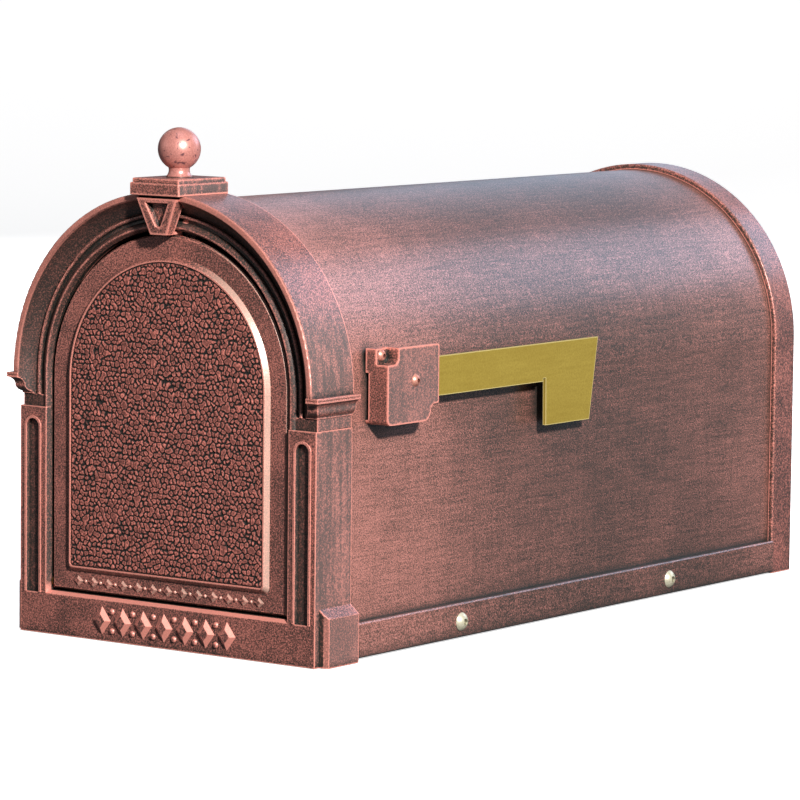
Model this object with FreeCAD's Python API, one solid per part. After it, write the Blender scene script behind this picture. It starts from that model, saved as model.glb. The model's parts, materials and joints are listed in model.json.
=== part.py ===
import FreeCAD, Part
import math
import os

from FreeCAD import Vector

# A dome-top mailbox that bolts through its floor to a post. Millimetres, +Z up.
# X runs across the box, and +Y from the door to the back. The origin is the centre of the four
# post bolts on the underside. "Depth" means distance behind the face of the pilasters.

# Overall
LENGTH = 518.5
FRONT_Y = -LENGTH / 2

# Front frame casting
FRAME_HALF = 110.5
FRAME_DEPTH = 34.1
WEB_DEPTH = 8.0
OPENING_HALF = 90.7
REVEAL_HALF = 89.3
REVEAL_DEPTH = 3.4
SILL_EDGE = 24.2
SILL_TOP = 26.0
SILL_SLOPE = 2.4
PILASTER_TOP = 135.5
NECK_TOP = 142.5
NECK_HALF = 109.8
NECK_DEPTH = 2.2
IMPOST_TOP = 155.2
IMPOST_SIDE = 6.4
IMPOST_FRONT = 8.7
HOOD_R = 111.4
HOOD_Z = 155.4
RIM_R = 107.4
RIM_DEPTH = -6.3
SLOT_X = 100.8
SLOT_HALF = 4.9
SLOT_TOP = 128.2
SLOT_BOTTOM = SILL_EDGE - 1.0
SLOT_DEEP = 2.5
PLINTH_HALF = 116.5
PLINTH_TOP = 33.5

# Cap and finial
CAP_HALF = 18.3
CAP_FRONT = -11.0
CAP_BACK = 35.0
CAP_BOTTOM = 263.7
CAP_STEP = 272.3
CAP_TOP = 274.9
CAP_UPPER_HALF = 17.0
CAP_UPPER_INSET = 1.3
FINIAL_DEPTH = 12.0
BALL_R = 12.5
BALL_Z = 291.3

# Body
SHELL_R = 106.8
SHELL_Z = 154.1
SHEET = 1.6
SHELL_FRONT = 20.0
PANEL_DEPTH = 513.3
BAND_FRONT = 495.0
BAND_R = 110.5
BAND_FLANGE_R = 98.0
BAND_SILL = 14.0
FLOOR_TOP = 24.5
RAIL_OUT = 111.8
RAIL_BOTTOM = 1.0
RAIL_TOP = 21.5
RAIL_SCREW_Z = 10.4
RAIL_SCREW_DEPTHS = (142.4, 369.3)
POST_X = 101.6
POST_Y = 203.2
POST_HOLE_R = 3.4

# Door
DOOR_R = 87.8
DOOR_Z = 154.1
DOOR_BOTTOM = 27.5
DOOR_FACE = 3.0
DOOR_BACK = 6.0
DOOR_FLANGE = 28.0
DOOR_CHAMFER = 1.1
PANEL_HALF = 73.0
PANEL_BOTTOM = 41.6
PANEL_BEVEL = 2.5
PANEL_BORDER = 0.9
PANEL_FACE = 0.2
HINGE_DEPTH = 6.4
HINGE_Z = 31.0
HINGE_PIN_R = 1.4
BUSH_R = 2.1
FIT = 0.05

# Keystone pull
PULL_TOP = 263.5
PULL_BOTTOM = 242.3
PULL_TOP_HALF = 14.6
PULL_BOTTOM_HALF = 5.9
PULL_BACK = -0.3
PULL_GAP = 0.9

# Flag
PIVOT_DEPTH = 77.8
PIVOT_Z = 160.1
PIVOT_R = 2.5
ARM_HALF = 11.6
FLAG_IN = 115.4
FLAG_OUT = 117.6
FLAG_END = 274.7
HOUSING_OUT = 123.0
HOUSING_LEFT = 51.0
HOUSING_RIGHT = 101.0
HOUSING_TOP = 180.0
HOUSING_BOTTOM = 135.5
HOUSING_WALL = 2.4


# Shared shapes

def at(depth):
    """The Y of a depth behind the pilasters' face."""
    return FRONT_Y + depth


def point(axis, along, u, v):
    """A point given by its place along an axis and its other two coordinates in X, Y, Z order."""
    if axis == "x":
        return Vector(along, u, v)
    if axis == "y":
        return Vector(u, along, v)
    return Vector(u, v, along)


def block(xs, depths, zs):
    corner = Vector(xs[0], at(depths[0]), zs[0])
    return Part.makeBox(xs[1] - xs[0], depths[1] - depths[0], zs[1] - zs[0], corner)


def prism(axis, start, end, outline):
    """A straight-sided outline carried from start to end along an axis."""
    corners = [point(axis, start, u, v) for u, v in outline]
    face = Part.Face(Part.makePolygon(corners + corners[:1]))
    return face.extrude(point(axis, end - start, 0, 0))


def rod(radius, start, end):
    run = end - start
    return Part.makeCylinder(radius, run.Length, start, run)


def hexagon(across_flats, start, end):
    """A hexagonal bar between two points."""
    run = end - start
    side = Vector(0, 1, 0) if abs(run.y) < 0.5 * run.Length else Vector(1, 0, 0)
    side = side - run * (side.dot(run) / run.dot(run))
    side.normalize()
    other = run.cross(side)
    other.normalize()
    reach = across_flats / math.sqrt(3)
    corners = []
    for step in range(6):
        turn = math.radians(60 * step)
        corners.append(start + side * (reach * math.cos(turn)) + other * (reach * math.sin(turn)))
    return Part.Face(Part.makePolygon(corners + corners[:1])).extrude(run)


def mirrored(shape):
    return shape.mirror(Vector(0, 0, 0), Vector(1, 0, 0))


def both_sides(shape):
    return [shape, mirrored(shape)]


def arch_wire(radius, centre_z, bottom_z, depth, corner=0.0):
    """The outline of a round-topped door: straight sides, round top, flat foot."""
    y = at(depth)
    crown = Vector(0, y, centre_z + radius)
    right = Vector(radius, y, centre_z)
    left = Vector(-radius, y, centre_z)
    edges = [Part.Arc(left, crown, right).toShape()]
    if corner == 0.0:
        right_foot = Vector(radius, y, bottom_z)
        left_foot = Vector(-radius, y, bottom_z)
        path = [right, right_foot, left_foot, left]
        edges += [Part.makeLine(a, b) for a, b in zip(path, path[1:])]
        return Part.Wire(edges)
    inset = corner * (1 - math.sqrt(0.5))
    for side in (1, -1):
        high = Vector(side * radius, y, bottom_z + corner)
        middle = Vector(side * (radius - inset), y, bottom_z + inset)
        low = Vector(side * (radius - corner), y, bottom_z)
        edges.append(Part.makeLine(Vector(side * radius, y, centre_z), high))
        edges.append(Part.Arc(high, middle, low).toShape())
    edges.append(Part.makeLine(Vector(radius - corner, y, bottom_z), Vector(corner - radius, y, bottom_z)))
    return Part.Wire(Part.__sortEdges__(edges))


def arch(radius, centre_z, bottom_z, depths, corner=0.0):
    face = Part.Face(arch_wire(radius, centre_z, bottom_z, depths[0], corner))
    return face.extrude(Vector(0, depths[1] - depths[0], 0))


def button_head(radius, height, socket, seat, outward):
    """A domed screw head with a hexagon socket, sitting on a seat and facing outward."""
    bulge = (radius ** 2 + height ** 2) / (2 * height)
    ball = Part.makeSphere(bulge, seat + outward * (height - bulge))
    drum = rod(radius, seat, seat + outward * (height + 1.0))
    hole = hexagon(socket, seat + outward * (height * 0.35), seat + outward * (height + 1.0))
    return ball.common(drum).cut(hole)


def screw(seat, outward, length, shank_r, head_r, head_height, socket):
    """A screw whose head sits on seat and whose shank runs the other way."""
    shank = rod(shank_r, seat - outward * length, seat + outward * (head_height * 0.2))
    return shank.fuse(button_head(head_r, head_height, socket, seat, outward)).removeSplitter()


def nut(across_flats, bore_r, start, end):
    return hexagon(across_flats, start, end).cut(rod(bore_r, start, end))


def washer(outer_r, bore_r, start, end):
    return rod(outer_r, start, end).cut(rod(bore_r, start, end))


def save(name, *shapes):
    shape = shapes[0] if len(shapes) == 1 else Part.makeCompound(list(shapes))
    for solid in shape.Solids:
        if not solid.isValid():
            raise ValueError(name + " holds a solid that isn't valid")
    if shape.ShapeType == "Compound" and len(shape.Solids) == 1:
        shape = shape.Solids[0]
    shape.exportStep("parts/" + name + ".step")
    print(name, len(shape.Solids), round(shape.Volume))


# Where the fasteners of the shell go

def wall_points(depth):
    """Points on the shell's outer face at one depth, each with its outward direction."""
    places = []
    for height in (62.0, 118.0):
        places.append((Vector(SHELL_R, at(depth), height), Vector(1, 0, 0)))
        places.append((Vector(-SHELL_R, at(depth), height), Vector(-1, 0, 0)))
    for degrees in (38, 142):
        turn = math.radians(degrees)
        out = Vector(math.cos(turn), 0, math.sin(turn))
        places.append((Vector(0, at(depth), SHELL_Z) + out * SHELL_R, out))
    return places


FRAME_SCREW_DEPTH = 27.0
BAND_SCREW_DEPTH = 504.0
WALL_SCREW_R = 1.9
WALL_SCREW_REACH = 2.4
WALL_SCREW_SEAT = 0.08


def wall_screws(depth):
    """Screws from inside the shell, through it and into the casting around it."""
    screws = []
    for outer, out in wall_points(depth):
        seat = outer - out * (SHEET + WALL_SCREW_SEAT)
        length = SHEET + WALL_SCREW_SEAT + WALL_SCREW_REACH
        screws.append(screw(seat, out * -1, length, WALL_SCREW_R, 3.4, 1.9, 2.0))
    return screws


def wall_screw_holes(depth):
    holes = []
    for outer, out in wall_points(depth):
        start = outer - out * (SHEET + 1.0)
        end = outer + out * (WALL_SCREW_REACH + 0.2)
        holes.append(rod(WALL_SCREW_R + FIT, start, end))
    return holes


def rail_screw_places():
    places = []
    for depth in RAIL_SCREW_DEPTHS:
        for side in (1, -1):
            places.append((side, Vector(side * RAIL_OUT, at(depth), RAIL_SCREW_Z)))
    return places


def rail_screw_holes():
    holes = []
    for side, seat in rail_screw_places():
        start = seat + Vector(side, 0, 0)
        holes.append(rod(3.2, start, start - Vector(side * 16, 0, 0)))
    return holes


FLAG_SCREWS = ((56.0, 175.6), (83.0, 141.9))
FLAG_SCREW_R = 1.9


def flag_screw_holes():
    holes = []
    for depth, height in FLAG_SCREWS:
        start = Vector(100, at(depth), height)
        holes.append(rod(FLAG_SCREW_R + FIT, start, start + Vector(30, 0, 0)))
    return holes


def pivot_hole(radius):
    start = Vector(95, at(PIVOT_DEPTH), PIVOT_Z)
    return rod(radius, start, start + Vector(35, 0, 0))


# Front frame

def hood_section():
    """The hood's mouldings: (distance from the arch's centre, depth) from the rim to the opening."""
    return [
        ("line", (HOOD_R, RIM_DEPTH + 1.0)),
        ("arc", (HOOD_R - 0.3, RIM_DEPTH + 0.3), (HOOD_R - 1.0, RIM_DEPTH)),
        ("line", (RIM_R + 1.0, RIM_DEPTH)),
        ("arc", (RIM_R + 0.3, RIM_DEPTH + 0.3), (RIM_R, RIM_DEPTH + 1.0)),
        ("arc", (103.6, 0.1), (99.6, 3.0)),
        ("line", (99.3, 3.6)),
        ("line", (99.1, 2.6)),
        ("arc", (98.0, 1.2), (96.9, 2.6)),
        ("line", (96.6, 3.8)),
        ("line", (94.8, 3.6)),
        ("arc", (93.4, 1.6), (91.7, 0.6)),
        ("line", (91.1, 0.6)),
        ("line", (OPENING_HALF, 1.0)),
        ("line", (REVEAL_HALF, REVEAL_DEPTH)),
        ("line", (REVEAL_HALF, FRAME_DEPTH)),
        ("line", (HOOD_R, FRAME_DEPTH)),
    ]


def section_wire(outline, place):
    """Join lines and three-point arcs into a closed wire; place turns a pair into a point."""
    start = place(*outline[-1][-1])
    here = start
    edges = []
    for piece in outline:
        there = place(*piece[-1])
        if piece[0] == "arc":
            edges.append(Part.Arc(here, place(*piece[1]), there).toShape())
        else:
            edges.append(Part.makeLine(here, there))
        here = there
    return Part.Wire(edges)


def hood():
    wire = section_wire(hood_section(), lambda radius, depth: Vector(radius, at(depth), HOOD_Z))
    return Part.Face(wire).revolve(Vector(0, 0, HOOD_Z), Vector(0, -1, 0), 180)


def hood_leg(bottom, top):
    """The hood's section carried straight down on the right side."""
    wire = section_wire(hood_section(), lambda radius, depth: Vector(radius, at(depth), top))
    return Part.Face(wire).extrude(Vector(0, 0, bottom - top))


def impost_section():
    """The impost's profile: (share of its full projection, height) from its foot to its top."""
    return [
        ("line", (0.0, NECK_TOP)),
        ("line", (0.10, NECK_TOP + 0.2)),
        ("line", (0.10, NECK_TOP + 1.2)),
        ("arc", (0.36, NECK_TOP + 2.6), (0.50, NECK_TOP + 5.0)),
        ("arc", (0.61, NECK_TOP + 8.0), (0.90, NECK_TOP + 9.7)),
        ("line", (1.0, NECK_TOP + 9.8)),
        ("line", (1.0, NECK_TOP + 10.8)),
        ("line", (0.93, NECK_TOP + 11.1)),
        ("line", (1.0, NECK_TOP + 11.4)),
        ("line", (1.0, IMPOST_TOP - 0.4)),
        ("line", (0.93, IMPOST_TOP)),
        ("line", (-2.0, IMPOST_TOP)),
        ("line", (-2.0, NECK_TOP)),
    ]


def impost():
    """The moulded block under each foot of the hood, mitred round the corner."""
    front = section_wire(
        impost_section(),
        lambda share, height: Vector(0, at(NECK_DEPTH - share * IMPOST_FRONT), height),
    )
    side = section_wire(
        impost_section(),
        lambda share, height: Vector(NECK_HALF + share * IMPOST_SIDE, at(RIM_DEPTH - 9), height),
    )
    from_front = Part.Face(front).extrude(Vector(140, 0, 0))
    from_side = Part.Face(side).extrude(Vector(0, 60, 0))
    zs = (NECK_TOP, IMPOST_TOP)
    behind = block((OPENING_HALF, 140), (NECK_DEPTH, FRAME_DEPTH), zs)
    inside = block((OPENING_HALF, NECK_HALF), (RIM_DEPTH - 9, FRAME_DEPTH), zs)
    corner = from_front.fuse(behind).common(from_side.fuse(inside))
    return corner.common(block((OPENING_HALF, 140), (RIM_DEPTH - 9, FRAME_DEPTH), zs))


def moulding_void():
    """The space in front of the inner mouldings, which run down past the impost."""
    top = IMPOST_TOP + 1
    front = block((80, RIM_R + 0.2), (RIM_DEPTH - 9, 6), (NECK_TOP, top))
    return front.cut(hood_leg(NECK_TOP - 1, top + 1))


def slot_outline(grow, depths, zs):
    """A round-topped slot in the right pilaster, grown by a margin."""
    half = SLOT_HALF + grow
    spring = SLOT_TOP - SLOT_HALF
    stem = block((SLOT_X - half, SLOT_X + half), depths, (zs, spring))
    start = Vector(SLOT_X, at(depths[0]), spring)
    return stem.fuse(rod(half, start, start + Vector(0, depths[1] - depths[0], 0)))


def reveal():
    """The sloping inner side of the right jamb, from the sill to the pilaster's top."""
    plan = [
        (OPENING_HALF + 0.6, at(0.3)),
        (OPENING_HALF, at(0.3)),
        (REVEAL_HALF, at(REVEAL_DEPTH)),
        (REVEAL_HALF, at(FRAME_DEPTH)),
        (OPENING_HALF + 0.6, at(FRAME_DEPTH)),
    ]
    return prism("z", SILL_EDGE, PILASTER_TOP, plan)


def pilaster():
    right = block((OPENING_HALF, FRAME_HALF), (0, FRAME_DEPTH), (SILL_EDGE, PILASTER_TOP))
    border = slot_outline(1.5, (-0.6, 1.0), SILL_EDGE)
    slot = slot_outline(0.0, (-2.0, SLOT_DEEP), SLOT_BOTTOM)
    neck = block((OPENING_HALF, NECK_HALF), (NECK_DEPTH, FRAME_DEPTH), (PILASTER_TOP, NECK_TOP))
    jamb = block((REVEAL_HALF - 1, 94.8), (-1, FRAME_DEPTH), (PILASTER_TOP, HOOD_Z))
    moulding = hood_leg(PILASTER_TOP, HOOD_Z).common(jamb)
    return right.fuse([border, reveal(), neck, moulding]).cut(slot)


def plinth():
    """The foot block that wraps the side of each pilaster, with a sloped top."""
    outline = [
        (FRAME_HALF - 4, 0),
        (PLINTH_HALF, 0),
        (PLINTH_HALF, PLINTH_TOP - 5.1),
        (FRAME_HALF, PLINTH_TOP),
        (FRAME_HALF - 4, PLINTH_TOP),
    ]
    plan = [
        (FRAME_HALF - 4, at(4.3)),
        (113.6, at(4.3)),
        (PLINTH_HALF, at(5.9)),
        (PLINTH_HALF, at(FRAME_DEPTH)),
        (FRAME_HALF - 4, at(FRAME_DEPTH)),
    ]
    return prism("y", at(4.3), at(FRAME_DEPTH), outline).common(prism("z", 0, PLINTH_TOP, plan))


def sill():
    """The step under the door, sloping up from the apron's front edge."""
    outline = [
        (at(0), SILL_EDGE - 1),
        (at(0), SILL_EDGE),
        (at(SILL_SLOPE), SILL_TOP),
        (at(FRAME_DEPTH), SILL_TOP),
        (at(FRAME_DEPTH), SILL_EDGE - 1),
    ]
    return prism("x", -OPENING_HALF - 0.3, OPENING_HALF + 0.3, outline)


def lozenge(x, z, half_width, half_height, rise, base_depth):
    """A diamond with sloping sides that stands on a face looking to the front."""
    wires = []
    for share, depth in ((1.0, base_depth + 0.4), (1.0, base_depth), (0.5, base_depth - rise)):
        corners = []
        for u, v in ((1, 0), (0, 1), (-1, 0), (0, -1)):
            corners.append(Vector(x + u * half_width * share, at(depth), z + v * half_height * share))
        wires.append(Part.makePolygon(corners + corners[:1]))
    return Part.makeLoft(wires, True, True)


def stud(x, z, radius, base_depth):
    """A round bead, half sunk in a face looking to the front."""
    return Part.makeSphere(radius, Vector(x, at(base_depth), z))


def apron_ornament():
    """A row of diamonds and beads across the middle of the apron."""
    pieces = []
    for step in range(-3, 4):
        pieces.append(lozenge(step * 15.6, 12.2, 6.6, 8.6, 2.2, 0.0))
    for step in range(-3, 3):
        for height in (6.4, 18.0):
            pieces.append(stud((step + 0.5) * 15.6, height, 2.0, 0.3))
    return pieces


def pull_notch():
    """Room for the keystone pull in the hood's rim and cove."""
    outline = [
        (-PULL_TOP_HALF - PULL_GAP, PULL_TOP + PULL_GAP),
        (PULL_TOP_HALF + PULL_GAP, PULL_TOP + PULL_GAP),
        (PULL_BOTTOM_HALF + PULL_GAP, PULL_BOTTOM - PULL_GAP),
        (-PULL_BOTTOM_HALF - PULL_GAP, PULL_BOTTOM - PULL_GAP),
    ]
    return prism("y", at(-20), at(PULL_BACK + 0.6), outline)


BRACKET_SCREW_X = 12.0
BRACKET_SCREW_Z = 249.7


def bracket_screw_hole(x):
    start = Vector(x, at(WEB_DEPTH - 4.2), BRACKET_SCREW_Z)
    return rod(1.4 + FIT, start, start + Vector(0, 8, 0))


def hinge_hole(radius, x0, x1):
    return rod(radius, Vector(x0, at(HINGE_DEPTH), HINGE_Z), Vector(x1, at(HINGE_DEPTH), HINGE_Z))


PIN_INNER = 82.0
PIN_OUTER = 97.0


def front_frame():
    right = [
        pilaster(),
        impost().cut(moulding_void()),
        hood_leg(IMPOST_TOP - 0.2, HOOD_Z),
        plinth(),
    ]
    apron = block((-FRAME_HALF, FRAME_HALF), (0, FRAME_DEPTH), (0, SILL_EDGE)).fuse(sill())
    shapes = [hood()] + right + [mirrored(shape) for shape in right] + apron_ornament()
    frame = apron.fuse(shapes)
    stud_top = Vector(0, at(FINIAL_DEPTH), CAP_TOP)
    cuts = [
        arch(SHELL_R + 0.2, SHELL_Z, -1, (WEB_DEPTH, FRAME_DEPTH + 1)),
        arch(REVEAL_HALF, HOOD_Z, SILL_TOP, (REVEAL_DEPTH, WEB_DEPTH + 1)),
        pull_notch(),
        rod(3.1, stud_top, stud_top - Vector(0, 0, 30)),
        rod(7.0, stud_top - Vector(0, 0, 13.6), stud_top - Vector(0, 0, 25)),
        bracket_screw_hole(BRACKET_SCREW_X),
        bracket_screw_hole(-BRACKET_SCREW_X),
        hinge_hole(HINGE_PIN_R, REVEAL_HALF - 1, PIN_OUTER),
        hinge_hole(HINGE_PIN_R, -PIN_OUTER, 1 - REVEAL_HALF),
    ]
    frame = frame.cut(cuts + wall_screw_holes(FRAME_SCREW_DEPTH))
    return frame.removeSplitter()


# Cap and finial

def cap_plate():
    lower = block((-CAP_HALF, CAP_HALF), (CAP_FRONT, CAP_BACK), (CAP_BOTTOM, CAP_STEP))
    lower = lower.makeChamfer(0.6, [edge for edge in lower.Edges if edge.CenterOfMass.z > CAP_BOTTOM + 1])
    front_lift = block((-CAP_HALF, CAP_HALF), (CAP_FRONT - 1, RIM_DEPTH - 0.1), (CAP_BOTTOM - 1, 265.2))
    xs = (-CAP_UPPER_HALF, CAP_UPPER_HALF)
    depths = (CAP_FRONT + CAP_UPPER_INSET, CAP_BACK - CAP_UPPER_INSET)
    upper = block(xs, depths, (CAP_STEP - 0.5, CAP_TOP))
    upper = upper.makeChamfer(0.5, [edge for edge in upper.Edges if edge.CenterOfMass.z > CAP_TOP - 0.1])
    axis_start = Vector(0, at(RIM_DEPTH - 0.1), HOOD_Z)
    saddle = rod(HOOD_R + 0.05, axis_start, Vector(0, at(CAP_BACK + 1), HOOD_Z))
    stud_top = Vector(0, at(FINIAL_DEPTH), CAP_TOP + 1)
    hole = rod(3.1, stud_top, stud_top - Vector(0, 0, 20))
    return lower.fuse(upper).cut([front_lift, saddle, hole]).removeSplitter()


def finial():
    """A ball on a waisted neck, with a threaded stud below."""
    y = at(FINIAL_DEPTH)
    neck_joint = BALL_Z - math.sqrt(BALL_R ** 2 - 6.3 ** 2)
    edges = [
        Part.makeLine(Vector(0, y, 253.6), Vector(3, y, 253.6)),
        Part.makeLine(Vector(3, y, 253.6), Vector(3, y, CAP_TOP)),
        Part.makeLine(Vector(3, y, CAP_TOP), Vector(7.6, y, CAP_TOP)),
        Part.makeLine(Vector(7.6, y, CAP_TOP), Vector(7.6, y, CAP_TOP + 0.7)),
        Part.Arc(
            Vector(7.6, y, CAP_TOP + 0.7),
            Vector(6.5, y, CAP_TOP + 2.3),
            Vector(6.3, y, neck_joint),
        ).toShape(),
        Part.Arc(
            Vector(6.3, y, neck_joint),
            Vector(BALL_R, y, BALL_Z),
            Vector(0, y, BALL_Z + BALL_R),
        ).toShape(),
        Part.makeLine(Vector(0, y, BALL_Z + BALL_R), Vector(0, y, 253.6)),
    ]
    return Part.Face(Part.Wire(edges)).revolve(Vector(0, y, 0), Vector(0, 0, 1), 360)


def finial_fasteners():
    top = Vector(0, at(FINIAL_DEPTH), SHELL_Z + SHELL_R + 0.1)
    seat = top - Vector(0, 0, 1.0)
    save("finial_washer", washer(5.6, 3.1, seat, top))
    save("finial_nut", nut(10.0, 3.0, seat - Vector(0, 0, 5.0), seat))


# Body

def body_shell():
    depths = (SHELL_FRONT, PANEL_DEPTH - 0.1)
    outside = arch(SHELL_R, SHELL_Z, SHEET + 0.1, depths)
    inside = arch(SHELL_R - SHEET, SHELL_Z, 0, depths)
    holes = wall_screw_holes(FRAME_SCREW_DEPTH) + wall_screw_holes(BAND_SCREW_DEPTH)
    holes += rail_screw_holes() + flag_screw_holes()
    holes.append(pivot_hole(PIVOT_R + FIT))
    return outside.cut([inside] + holes)


FLOOR_HALF = SHELL_R - SHEET - 0.1
FLOOR_FRONT = WEB_DEPTH + 0.6
PLATE_RIVET_X = 97.0
PLATE_RIVET_DEPTHS = (60.0, 256.0, 452.0)
LIP_Z = SHEET + 0.1


def plate_rivet_places():
    places = []
    for depth in PLATE_RIVET_DEPTHS:
        for side in (1, -1):
            places.append(Vector(side * PLATE_RIVET_X, at(depth), 0))
    return places


def plate_rivet(foot):
    """A countersunk rivet, flush below, with a low round head on the floor pan's lip."""
    up = Vector(0, 0, 1)
    cone = Part.makeCone(3.4, 2.0, 1.2, foot, up)
    shank = rod(2.0, foot, foot + up * (LIP_Z + SHEET + 0.6))
    head = button_head(3.4, 1.3, 0.1, foot + up * (LIP_Z + SHEET), up)
    return cone.fuse([shank, head]).removeSplitter()


def floor_pan():
    """A tray turned upside down, with lips at the foot of its two side flanges."""
    depths = (FLOOR_FRONT, PANEL_DEPTH - 0.3)
    tray = block((-FLOOR_HALF, FLOOR_HALF), depths, (LIP_Z, FLOOR_TOP))
    hollow_half = FLOOR_HALF - SHEET
    hollow = block((-hollow_half, hollow_half), depths, (LIP_Z + SHEET, FLOOR_TOP - SHEET))
    gap = block((-88, 88), depths, (0, LIP_Z + SHEET + 1))
    holes = rail_screw_holes()
    for foot in plate_rivet_places():
        holes.append(rod(2.0 + FIT, foot, foot + Vector(0, 0, 6)))
    return tray.cut([hollow, gap] + holes)


def post_hole_places():
    places = []
    for x in (-POST_X / 2, POST_X / 2):
        for y in (-POST_Y / 2, POST_Y / 2):
            places.append(Vector(x, y, 0))
    return places


def base_plate():
    depths = (FLOOR_FRONT, PANEL_DEPTH - 0.3)
    plate = block((-SHELL_R, SHELL_R), depths, (0, SHEET))
    cuts = [rod(POST_HOLE_R, foot - Vector(0, 0, 1), foot + Vector(0, 0, 3)) for foot in post_hole_places()]
    for foot in plate_rivet_places():
        cuts.append(Part.makeCone(3.4 + FIT, 2.0 + FIT, 1.2, foot, Vector(0, 0, 1)))
        cuts.append(rod(2.0 + FIT, foot, foot + Vector(0, 0, 4)))
    return plate.cut(cuts)


def post_nuts():
    nuts = []
    for foot in post_hole_places():
        seat = foot + Vector(0, 0, SHEET)
        flange = washer(8.5, POST_HOLE_R, seat, seat + Vector(0, 0, 1.4))
        body = nut(11.0, POST_HOLE_R, seat + Vector(0, 0, 1.4), seat + Vector(0, 0, 6.4))
        nuts.append(flange.fuse(body).removeSplitter())
    return nuts


def side_rail():
    """A channel on its side: its open face lies against the shell's right wall."""
    inner = SHELL_R + 0.05
    outline = [
        (inner, RAIL_BOTTOM),
        (RAIL_OUT - 0.8, RAIL_BOTTOM),
        (RAIL_OUT, RAIL_BOTTOM + 0.8),
        (RAIL_OUT, RAIL_TOP - 0.8),
        (RAIL_OUT - 0.8, RAIL_TOP),
        (inner, RAIL_TOP),
        (inner, RAIL_TOP - 2),
        (RAIL_OUT - 2, RAIL_TOP - 2),
        (RAIL_OUT - 2, RAIL_BOTTOM + 2),
        (inner, RAIL_BOTTOM + 2),
    ]
    return prism("y", at(FRAME_DEPTH + 0.2), at(BAND_FRONT - 0.2), outline).cut(rail_screw_holes())


def rail_fasteners():
    screws = []
    nuts = []
    inner_face = FLOOR_HALF - SHEET
    for side, seat in rail_screw_places():
        out = Vector(side, 0, 0)
        screws.append(screw(seat, out, RAIL_OUT - inner_face + 6.5, 3.0, 5.5, 3.3, 4.0))
        start = Vector(side * inner_face, seat.y, seat.z)
        nuts.append(nut(10.0, 3.0, start, start - out * 5.0))
    save("rail_screws", *screws)
    save("rail_nuts", *nuts)


def rear_band():
    band = arch(BAND_R, SHELL_Z, 0, (BAND_FRONT, LENGTH))
    rims = [edge for edge in band.Edges if edge.Length > 100 and edge.CenterOfMass.z > 20]
    rims = [edge for edge in rims if abs(edge.BoundBox.YLength) < 1]
    band = band.makeFillet(1.2, rims)
    cavity = arch(SHELL_R + 0.2, SHELL_Z, -1, (BAND_FRONT - 1, PANEL_DEPTH + 1.2))
    window = arch(BAND_FLANGE_R, SHELL_Z, BAND_SILL, (PANEL_DEPTH, LENGTH + 1))
    return band.cut([cavity, window] + wall_screw_holes(BAND_SCREW_DEPTH) + panel_screw_holes())


def panel_screw_places():
    """Along the middle of the band's rear flange."""
    middle = (BAND_FLANGE_R + SHELL_R) / 2
    places = []
    for degrees in (0, 45, 90, 135, 180):
        turn = math.radians(degrees)
        places.append((middle * math.cos(turn), SHELL_Z + middle * math.sin(turn)))
    for side in (1, -1):
        places.append((side * middle, 60.0))
        places.append((side * 50.0, BAND_SILL / 2))
    return places


def panel_screw_holes():
    holes = []
    for x, z in panel_screw_places():
        start = Vector(x, at(PANEL_DEPTH - 1), z)
        holes.append(rod(1.7 + FIT, start, start + Vector(0, 4.4, 0)))
    return holes


def rear_panel():
    """The flat back with a raised field, pressed out from inside."""
    panel = arch(SHELL_R, SHELL_Z, SHEET + 0.1, (PANEL_DEPTH, PANEL_DEPTH + 1.2))
    outer = arch_wire(86.0, SHELL_Z, 26.0, PANEL_DEPTH + 1.1, 6.0)
    inner = arch_wire(83.0, SHELL_Z, 29.0, PANEL_DEPTH + 3.4, 5.0)
    raised = Part.makeLoft([outer, inner], True, True)
    outer_back = arch_wire(84.5, SHELL_Z, 27.5, PANEL_DEPTH - 0.1, 5.5)
    inner_back = arch_wire(81.8, SHELL_Z, 30.2, PANEL_DEPTH + 2.2, 4.6)
    hollow = Part.makeLoft([outer_back, inner_back], True, True)
    return panel.fuse(raised).cut([hollow] + panel_screw_holes())


def panel_screws():
    screws = []
    for x, z in panel_screw_places():
        seat = Vector(x, at(PANEL_DEPTH), z)
        screws.append(screw(seat, Vector(0, -1, 0), 3.2, 1.7, 2.7, 1.5, 1.8))
    return screws


# Door

CATCH_ROOM = 23.0


def bead_row():
    """Beads and short bars in a row under the door's panel."""
    pieces = []
    spacing = 11.3
    height = 33.6
    for step in range(-6, 7):
        pieces.append(lozenge(step * spacing, height, 3.9, 3.2, 1.0, DOOR_FACE))
    for step in range(-6, 6):
        pieces.append(stud((step + 0.5) * spacing, height, 1.2, DOOR_FACE + 0.25))
    return pieces


def strike_holes(radius):
    holes = []
    for x in (-11.0, 11.0):
        start = Vector(x, at(DOOR_FACE + 1.3), 235.0)
        holes.append(rod(radius, start, start + Vector(0, 5, 0)))
    return holes


PULL_SCREW_X = 2.9
PULL_SCREW_Z = 238.3


def pull_screw_holes(radius, depths):
    holes = []
    for x in (-PULL_SCREW_X, PULL_SCREW_X):
        start = Vector(x, at(depths[0]), PULL_SCREW_Z)
        holes.append(rod(radius, start, start + Vector(0, depths[1] - depths[0], 0)))
    return holes


def hinge_lug():
    """A block inside the door's right foot that carries the hinge bush."""
    return block((79.0, DOOR_R), (DOOR_FACE + DOOR_CHAMFER + 0.1, 11.0), (DOOR_BOTTOM, HINGE_Z + 5.5))


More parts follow.
